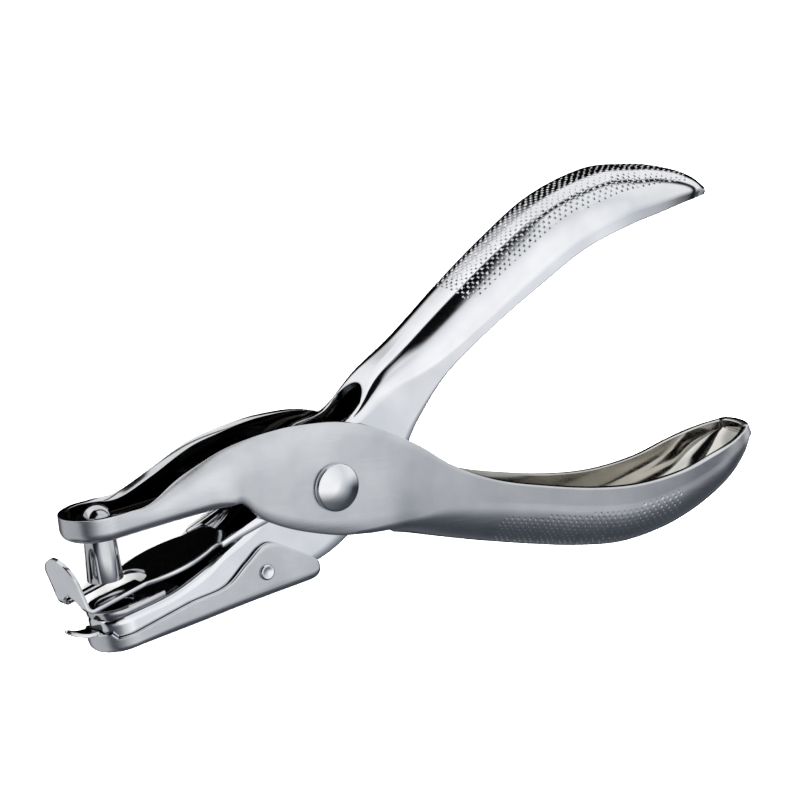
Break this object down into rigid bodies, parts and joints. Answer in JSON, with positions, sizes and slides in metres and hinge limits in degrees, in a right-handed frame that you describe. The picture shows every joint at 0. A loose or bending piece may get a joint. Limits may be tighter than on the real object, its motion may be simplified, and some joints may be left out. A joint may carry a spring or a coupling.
{
  "type": "single hole punch",
  "caption": "Plier-type hand punch of plated pressed steel: two channel levers on a rivet, a conical pin, a die with a stripper strip, a return spring and a swing-down chip tray.",
  "frame": {"origin": "on the pivot axis, on the flat tail of the pivot rivet, which the punch lies on", "axes": "+X along the tool from the jaws to the handles, +Y across the levers from the lower handle to the upper handle, +Z along the pivot axis, up from the surface that the punch lies on"},
  "size_m": [0.1397, 0.0718, 0.0168],
  "materials": {
    "satin_plate": "satin nickel plate",
    "bright_plate": "bright nickel plate",
    "tool_steel": "ground and polished",
    "spring_steel": "drawn wire"
  },
  "bodies": {
    "punch_side": {"punch_lever": "satin_plate", "punch_pin": "tool_steel", "pivot_rivet": "bright_plate", "pivot_sleeve": "tool_steel"},
    "die_side": {"die_lever": "bright_plate", "die_plate": "tool_steel", "stripper": "bright_plate", "tray_hinge_rivets": "bright_plate", "return_spring": "spring_steel"},
    "tray": {"chip_tray": "satin_plate"}
  },
  "joints": [
    {"name": "handle_squeeze", "type": "hinge", "parent": "punch_side", "child": "die_side", "pos_m": [0, 0, 0.008], "axis": [0, 0, -1], "range_deg": [0, 7.8], "stiffness_Nm_per_rad": 0.8, "springref_deg": -20.05, "deforming": ["return_spring"]},
    {"name": "tray_swing", "type": "hinge", "parent": "die_side", "child": "tray", "pos_m": [-0.01273, -0.0131, 0.008], "axis": [0, 0, 1], "range_deg": [0, 25]}
  ]
}
